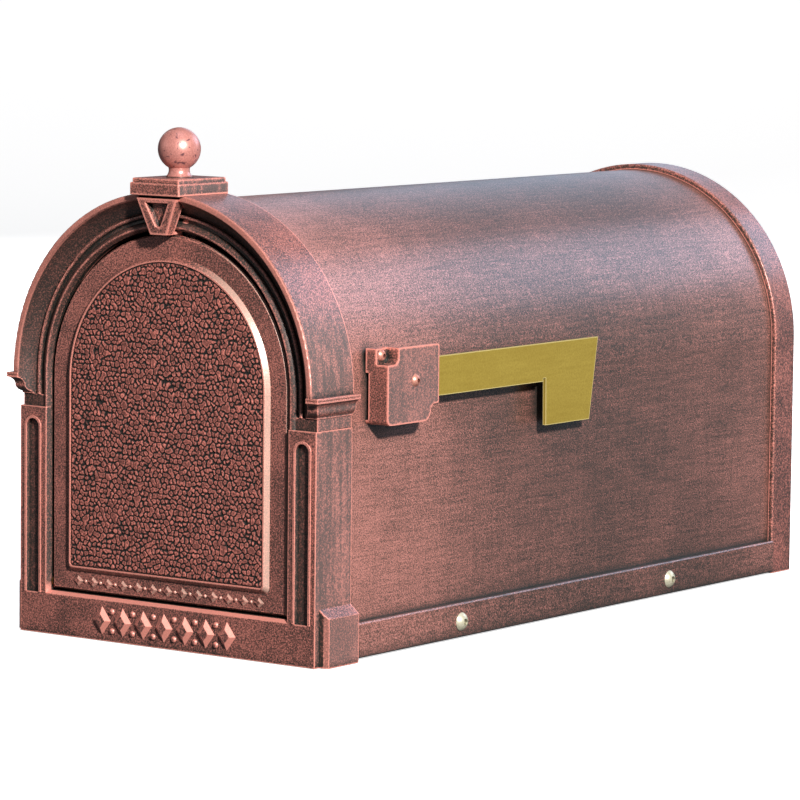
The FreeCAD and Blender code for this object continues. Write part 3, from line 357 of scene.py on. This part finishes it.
def copper_finish(name, brushed_and_sheen=0.0, rub=1.0, dark_slopes=0.0, bevel_highlight=0.0):
    """Antique copper on a casting: speckled, rubbed bright on its edges, dark in its grooves.

    brushed draws upright streaks on the faces that look sideways and paints a grey sheen on them, and
    rub is how far in millimetres the edges are worn. dark_slopes fills sunk faces and the sloping faces
    of the mouldings above the apron with patina and painted shade, and rubs the slopes on the apron and
    the hood's rim. bevel_highlight paints a highlight on the bevels that look to the right.
    """
    graph = Graph(name)
    place = graph.place()
    speckle = graph.noise(place, 1100.0, 3.0, 0.7)
    unevenness = graph.fit(speckle, 0.35, 0.65, -0.09, 0.09)

    # The rubbed copper of an open face
    cloud = graph.noise(place, 32.0, 4.0, 0.6, 0.4)
    tone = graph.math("ADD", speckle, graph.fit(cloud, 0.35, 0.65, -0.04, 0.03))
    if brushed_and_sheen:
        sidelong = graph.facing("X", 0.85, 0.98)
        streaks = graph.noise(graph.stretch(place, (1.0, 1.0, 0.04)), 260.0, 3.0, 0.6)
        streaks = graph.fit(streaks, 0.35, 0.65, -1.1 * brushed_and_sheen, 0.25 * brushed_and_sheen)
        upper = graph.fit(graph.along("Z"), PLINTH_TOP, PILASTER_FOOT)
        tone = graph.math("MULTIPLY_ADD", streaks, graph.math("MULTIPLY", sidelong, upper), tone)
    face = graph.ramp(tone, [(0.38, SMOKE), (0.49, RUSSET), (0.62, PINK)])
    # Painted sheen: the faces that look sideways are mixed towards grey, a reflection of the bluish
    # side light
    if brushed_and_sheen:
        face = graph.mix(graph.math("MULTIPLY", sidelong, 0.24), face, SHEEN_GREY)

    # Patina in grooves, and patina with painted shade on the sunk faces and slopes where dark_slopes
    # says
    open_air = graph.math("ADD", graph.occlusion(7 * MM), unevenness)
    cleared = graph.fit(open_air, 0.48, 0.90)
    # Painted shade as well as patina: sunk faces and the slopes above the apron are darkened by where
    # they lie and face
    if dark_slopes:
        above = graph.fit(graph.along("Z"), APRON_TOP, MOULDINGS_FOOT)
        sunk = graph.fit(graph.along("Y"), FACE_FRONT + 1.1 * MM, FACE_FRONT + 2.1 * MM)
        for share in (
            graph.math("MULTIPLY", graph.sloping(), above),
            graph.math("MULTIPLY", sunk, graph.facing("Y", 0.85, 0.97)),
        ):
            kept = graph.math("MULTIPLY_ADD", share, -dark_slopes, 1.0)
            cleared = graph.math("MULTIPLY", cleared, kept)
    patina_and_shade_face = graph.mix(cleared, PATINA_AND_SHADE, face)

    # Bright copper on worn edges
    inner = graph.math("SUBTRACT", graph.occlusion(rub * MM, inside=True), unevenness)
    worn = graph.fit(inner, 0.98, 0.70)
    if dark_slopes:
        below = graph.fit(graph.along("Z"), MOULDINGS_FOOT, APRON_TOP)
        outward = graph.math("ABSOLUTE", graph.along("X"))
        plinths = graph.fit(outward, PLINTH_INNER, PLINTH_INNER + SMOOTHING, 1.0, 0.35)
        apron = graph.math("MULTIPLY", graph.math("MULTIPLY", graph.sloping(), below), plinths)
        rim = graph.fit(graph.along("Y"), RIM_FRONT + 1.3 * MM, RIM_FRONT + 0.3 * MM)
        rim = graph.math("MULTIPLY", rim, graph.fit(graph.along("Z"), HOOD_FOOT, HOOD_FOOT + SMOOTHING))
        worn = graph.math("MAXIMUM", worn, graph.math("MULTIPLY", apron, dark_slopes))
        worn = graph.math("MAXIMUM", worn, graph.math("MULTIPLY", rim, 0.45))
    colour = graph.mix(graph.math("MULTIPLY", worn, 0.95), patina_and_shade_face, SALMON)
    # Painted highlight: cream on the sloping faces that look to the right, towards the key light
    if bevel_highlight:
        painted_highlight = graph.math("MULTIPLY", graph.sloping(), graph.looking("X", 0.15, 0.50))
        colour = graph.mix(graph.math("MULTIPLY", painted_highlight, bevel_highlight), colour, HIGHLIGHT_CREAM)

    rounded = graph.add("ShaderNodeBevel", samples=4)
    rounded.inputs["Radius"].default_value = 0.4 * MM
    roughness = graph.fit(speckle, 0.35, 0.65, 0.60, 0.42)
    normal = graph.bump(speckle, 0.24, 0.25 * MM, rounded.outputs["Normal"])
    return graph.finish(colour, 0.25, roughness, normal, coat=(0.7, 0.30))


def ball_finish():
    """The polished ball: smooth salmon copper with a few dark purple specks."""
    graph = Graph("polished_copper_ball")
    place = graph.place()
    grain = graph.noise(place, 1200.0, 3.0, 0.6)
    specks = graph.noise(place, 260.0, 2.0, 0.5, 0.6)
    colour = graph.ramp(grain, [(0.32, srgb(186, 122, 114)), (0.68, srgb(220, 150, 140))])
    colour = graph.mix(graph.fit(specks, 0.60, 0.68, 0.0, 0.8), colour, srgb(74, 44, 62))
    # Painted shade: darker where other surfaces come close to the ball
    shade = graph.fit(graph.occlusion(5 * MM), 0.42, 0.88)
    colour = graph.mix(shade, PATINA_AND_SHADE, colour)
    roughness = graph.fit(grain, 0.3, 0.7, 0.40, 0.32)
    return graph.finish(colour, 0.35, roughness, graph.bump(grain, 0.08, 0.08 * MM), coat=(0.6, 0.36))


def copper_sheet_finish(name):
    """The same antique copper on rolled sheet: fine stipple, faint strokes, pinker by its ends from
    wear and a painted highlight.
    """
    graph = Graph(name)
    place = graph.place()
    speckle = graph.noise(place, 1300.0, 3.0, 0.65)
    strokes = graph.noise(graph.stretch(place, (1.0, 0.05, 1.0)), 620.0, 3.0, 0.6)
    uprights = graph.noise(graph.stretch(place, (0.12, 1.0, 0.06)), 240.0, 3.0, 0.6)
    cloud = graph.noise(place, 9.0, 3.0, 0.5, 0.6)
    mixed = graph.math("MULTIPLY_ADD", strokes, 0.14, graph.math("MULTIPLY", speckle, 0.80))
    mixed = graph.math("MULTIPLY_ADD", uprights, 0.06, mixed)
    mixed = graph.math("ADD", mixed, graph.fit(cloud, 0.35, 0.65, -0.012, 0.016))
    # Pinker towards both ends: partly wear, partly a painted highlight where the round top catches the
    # light
    along = graph.along("Y")
    front_wear_and_highlight = graph.fit(along, SHELL_LOW.y + 14 * MM, SHELL_LOW.y + 209 * MM, 0.09, 0.0)
    back_wear_and_highlight = graph.fit(along, SHELL_HIGH.y - 144 * MM, SHELL_HIGH.y - 9 * MM, 0.0, 0.045)
    rubbed = graph.math("ADD", mixed, graph.math("ADD", front_wear_and_highlight, back_wear_and_highlight))
    face = graph.ramp(rubbed, [
        (0.42, srgb(36, 38, 35)),
        (0.50, srgb(80, 62, 56)),
        (0.57, srgb(142, 96, 86)),
        (0.66, srgb(200, 136, 126)),
    ])
    # Painted shade: darker where other parts come close to the shell
    shade = graph.fit(graph.occlusion(12 * MM), 0.45, 0.92)
    colour = graph.mix(shade, PATINA_AND_SHADE, face)
    roughness = graph.fit(mixed, 0.4, 0.62, 0.58, 0.42)
    return graph.finish(colour, 0.25, roughness, graph.bump(mixed, 0.22, 0.2 * MM), coat=(0.65, 0.34))


def flag_finish():
    """Gold paint with faint strokes along the arm, worn pale on its edges."""
    graph = Graph("flag_gold")
    place = graph.place()
    grain = graph.noise(place, 900.0, 3.0, 0.6)
    strokes = graph.noise(graph.stretch(place, (1.0, 0.08, 1.0)), 500.0, 3.0, 0.6)
    blotch = graph.noise(place, 30.0, 3.0, 0.5)
    mixed = graph.math("MULTIPLY_ADD", strokes, 0.3, graph.math("MULTIPLY", grain, 0.7))
    colour = graph.ramp(mixed, [(0.38, srgb(154, 132, 50)), (0.62, srgb(172, 150, 64))])
    colour = graph.mix(graph.fit(blotch, 0.4, 0.7, 0.0, 0.25), colour, srgb(146, 122, 40))
    worn = graph.fit(graph.occlusion(0.7 * MM, inside=True), 0.94, 0.66)
    colour = graph.mix(graph.math("MULTIPLY", worn, 0.8), colour, srgb(232, 216, 150))
    roughness = graph.fit(grain, 0.3, 0.7, 0.48, 0.40)
    return graph.finish(colour, 0.35, roughness, graph.bump(grain, 0.12, 0.1 * MM))


def metal_finish(name, light, dark, roughness, metallic=0.9):
    """Plain hardware metal with a fine grain, darker in its corners."""
    graph = Graph(name)
    place = graph.place()
    speckle = graph.noise(place, 700.0, 3.0, 0.6)
    colour = graph.ramp(speckle, [(0.35, dark), (0.65, light)])
    shade = graph.fit(graph.occlusion(3 * MM), 0.3, 0.85)
    colour = graph.mix(shade, dimmed(dark, 0.3), colour)
    uneven = graph.fit(speckle, 0.3, 0.7, roughness + 0.06, roughness - 0.06)
    return graph.finish(colour, metallic, uneven, graph.bump(speckle, 0.12, 0.1 * MM))


def plastic_finish(name, base, other, roughness):
    """Moulded plastic with a fine grain between two close colours."""
    graph = Graph(name)
    place = graph.place()
    grain = graph.noise(place, 1500.0, 2.0, 0.5)
    colour = graph.ramp(grain, [(0.35, other), (0.65, base)])
    uneven = graph.fit(grain, 0.3, 0.7, roughness - 0.05, roughness + 0.05)
    return graph.finish(colour, 0.0, uneven, graph.bump(grain, 0.2, 0.08 * MM))


def pebble_finish():
    """Copper on the pebbled panel: its colour follows the relief, stored on the mesh as a height."""
    graph = Graph("pebbled_copper")
    place = graph.place()
    height = graph.add("ShaderNodeAttribute", attribute_name="relief").outputs["Fac"]
    speckle = graph.noise(place, 1300.0, 3.0, 0.6)
    uneven = graph.math("ADD", height, graph.fit(speckle, 0.3, 0.7, -0.10, 0.10))
    colour = graph.ramp(uneven, [
        (0.14, srgb(22, 25, 24)),
        (0.40, srgb(66, 43, 40)),
        (0.66, srgb(150, 90, 82)),
        (0.94, srgb(234, 142, 128)),
    ])
    roughness = graph.fit(height, 0.0, 1.0, 0.75, 0.48)
    return graph.finish(colour, 0.25, roughness, graph.bump(speckle, 0.15, 0.2 * MM))


def hardware_finishes():
    """The plain metals and plastics, one for each of their material slots in the record."""
    pale_copper = srgb(232, 170, 150)
    pale_nickel = srgb(222, 220, 198)
    return {
        "copper_screw": metal_finish("copper_screw", pale_copper, srgb(186, 122, 110), 0.40, 0.5),
        "nickel_screw": metal_finish("nickel_screw", pale_nickel, srgb(190, 186, 162), 0.40, 0.45),
        "mill_sheet": metal_finish("mill_sheet", srgb(150, 148, 146), srgb(96, 94, 92), 0.5),
        "zinc_hardware": metal_finish("zinc_hardware", srgb(196, 198, 200), srgb(140, 142, 146), 0.38),
        "pin_steel": metal_finish("pin_steel", srgb(186, 188, 190), srgb(130, 132, 134), 0.25),
        "bush_brass": metal_finish("bush_brass", srgb(132, 106, 60), srgb(92, 72, 40), 0.42),
        "catch_plastic": plastic_finish("catch_plastic", srgb(44, 44, 46), srgb(30, 30, 32), 0.55),
        "magnet_steel": metal_finish("magnet_steel", srgb(120, 120, 124), srgb(78, 78, 82), 0.42),
        "nylon": plastic_finish("nylon", srgb(222, 220, 210), srgb(204, 202, 190), 0.5),
    }


def give_materials():
    """One finish for each of the record's material slots, with variants for some nodes."""
    finishes = {
        "copper_casting": copper_finish("antique_copper_cast"),
        "copper_sheet": copper_sheet_finish("antique_copper_sheet"),
        "flag_gold": flag_finish(),
        **hardware_finishes(),
    }
    variants = {
        "front_frame": copper_finish("antique_copper_frame", brushed_and_sheen=0.11, dark_slopes=0.75),
        "cap_plate": copper_finish("antique_copper_cap", brushed_and_sheen=0.17, rub=1.4),
        "flag_housing": copper_finish("antique_copper_housing", brushed_and_sheen=0.05, rub=1.6),
        "door_leaf": copper_finish("antique_copper_door", bevel_highlight=0.55),
        "keystone_pull": copper_finish("antique_copper_keystone", rub=2.0),
        "finial": ball_finish(),
    }
    for entry in frame["record"]["subparts"]:
        node = NODES[entry["node"]]
        finish = variants.get(entry["node"], finishes[entry["material_slot"]])
        node.data.materials.clear()
        node.data.materials.append(finish)


# The pebbled panel on the door

# The field inside the raised panel, from the door leaf's own box
FIELD_HALF = LEAF_HIGH.x - 15.7 * MM
FIELD_FOOT = LEAF_LOW.z + 15.0 * MM
FIELD_SPRING = LEAF_LOW.z + 126.6 * MM
FIELD_TOP = FIELD_SPRING + FIELD_HALF
FIELD_CORNER = 2.0 * MM
FIELD_DEPTH = 0.8 * MM
FIELD_BACK = LEAF_LOW.y + FIELD_DEPTH

SKIN_STEP = 0.44 * MM
SKIN_GAP = 0.05 * MM
BORDER_FADE = 1.1 * MM
RELIEF_LOW = 0.05 * MM
RELIEF_HIGH = 0.95 * MM

PEBBLE_SPACING = 3.4 * MM
ROW_SPACING = 0.88 * PEBBLE_SPACING
PEBBLE_SHIFT = 0.33
PAIRED_SHARE = 0.22
EDGE_WARP = 0.95 * MM
CREVICE_HALF = 0.15 * MM
SHOULDER = 1.15 * MM
SHOULDER_CHANGE = 0.6 * MM
DIMPLE = 0.34
LUMPS = 0.14
NO_NEIGHBOUR = 10.0


def clamp(value):
    return min(1.0, max(0.0, value))


def noise_at(x, z, layer, scale):
    """Noise between about -1 and 1, from a different layer for each use."""
    return noise.noise(Vector((x, layer, z)) * scale)


def field_edge_distance(x, z):
    """How far inside the arched field a point lies; negative outside it."""
    if z > FIELD_SPRING:
        return FIELD_HALF - math.hypot(x, z - FIELD_SPRING)
    side = FIELD_HALF - abs(x)
    foot = z - FIELD_FOOT
    if side < FIELD_CORNER and foot < FIELD_CORNER:
        return FIELD_CORNER - math.hypot(FIELD_CORNER - side, FIELD_CORNER - foot)
    return min(side, foot)


def pebble_seeds():
    """Centres of the pebbles, on a loose staggered grid that reaches past the field."""
    seeds = []
    reach = FIELD_HALF + 2 * PEBBLE_SPACING
    row = 0
    z = FIELD_FOOT - 2 * PEBBLE_SPACING
    while z < FIELD_SPRING + reach:
        x = -reach + (row % 2) * PEBBLE_SPACING / 2
        while x < reach:
            shift_x = random.uniform(-PEBBLE_SHIFT, PEBBLE_SHIFT) * PEBBLE_SPACING
            shift_z = random.uniform(-PEBBLE_SHIFT, PEBBLE_SHIFT) * PEBBLE_SPACING
            seeds.append(Vector((x + shift_x, z + shift_z, 0.0)))
            x += PEBBLE_SPACING
        z += ROW_SPACING
        row += 1
    return seeds


def seed_tree(seeds):
    tree = KDTree(len(seeds))
    for index, seed in enumerate(seeds):
        tree.insert(seed, index)
    tree.balance()
    return tree


def pebble_groups(seeds, tree):
    """A group for each seed: some seeds join a neighbour's, and so make one larger pebble."""
    groups = list(range(len(seeds)))
    for index, seed in enumerate(seeds):
        if random.random() < PAIRED_SHARE:
            partner = tree.find_n(seed, 3)[random.choice((1, 2))][1]
            groups[index] = groups[partner]
    return groups


def pebble_height(tree, groups, x, z):
    """0 in a crevice and about 1 on a pebble's crown; a group has no crevice inside it."""
    bend = noise.noise_vector(Vector((x, 0.0, z)) * 480.0) * EDGE_WARP
    near = tree.find_n(Vector((x + bend.x, z + bend.z, 0.0)), 5)
    nearest_group = groups[near[0][1]]
    gap = NO_NEIGHBOUR
    for other in near[1:]:
        if groups[other[1]] != nearest_group:
            gap = other[2] - near[0][2]
            break
    width = SHOULDER + SHOULDER_CHANGE * noise_at(x, z, 7.0, 300.0)
    rise = clamp((gap - CREVICE_HALF) / width)
    dimple = clamp(gap / width - 1.0)
    lumps = noise_at(x, z, 5.0, 900.0)
    return rise * rise * (3 - 2 * rise) - DIMPLE * dimple + LUMPS * lumps * rise


def skin_points(tree, groups):
    """The skin's grid inside the field: an index for each grid place, the points and their relief."""
    columns = int(2 * FIELD_HALF / SKIN_STEP) + 1
    rows = int((FIELD_TOP - FIELD_FOOT) / SKIN_STEP) + 1
    index_at = {}
    points = []
    relief = []
    for i in range(columns + 1):
        x = -FIELD_HALF + i * 2 * FIELD_HALF / columns
        for k in range(rows + 1):
            z = FIELD_FOOT + k * (FIELD_TOP - FIELD_FOOT) / rows
            inside = field_edge_distance(x, z) - SKIN_GAP
            if inside < 0:
                continue
            swell = 0.88 + 0.12 * noise_at(x, z, 3.0, 190.0)
            border = min(1.0, inside / BORDER_FADE)
            height = clamp(pebble_height(tree, groups, x, z) * swell * border)
            index_at[i, k] = len(points)
            points.append((x, FIELD_BACK - RELIEF_LOW - height * (RELIEF_HIGH - RELIEF_LOW), z))
            relief.append(height)
    return index_at, points, relief


def skin_faces(index_at):
    faces = []
    for (i, k), corner in index_at.items():
        across = index_at.get((i + 1, k))
        opposite = index_at.get((i + 1, k + 1))
        above = index_at.get((i, k + 1))
        if None in (across, opposite, above):
            continue
        faces.append((corner, across, opposite, above))
    return faces


def add_pebbles():
    """The pebbled skin in the field of the door's raised panel."""
    seeds = pebble_seeds()
    tree = seed_tree(seeds)
    index_at, points, relief = skin_points(tree, pebble_groups(seeds, tree))
    mesh = bpy.data.meshes.new("pebbled_panel")
    mesh.from_pydata(points, [], skin_faces(index_at))
    mesh.shade_smooth()
    attribute = mesh.attributes.new("relief", "FLOAT", "POINT")
    attribute.data.foreach_set("value", relief)
    panel = bpy.data.objects.new("pebbled_panel", mesh)
    bpy.context.scene.collection.objects.link(panel)
    panel.data.materials.append(pebble_finish())
    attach(panel, "door")


add_camera()
add_world()
add_lights()
add_floor()
give_materials()
add_pebbles()

bpy.context.scene.view_settings.view_transform = "Standard"
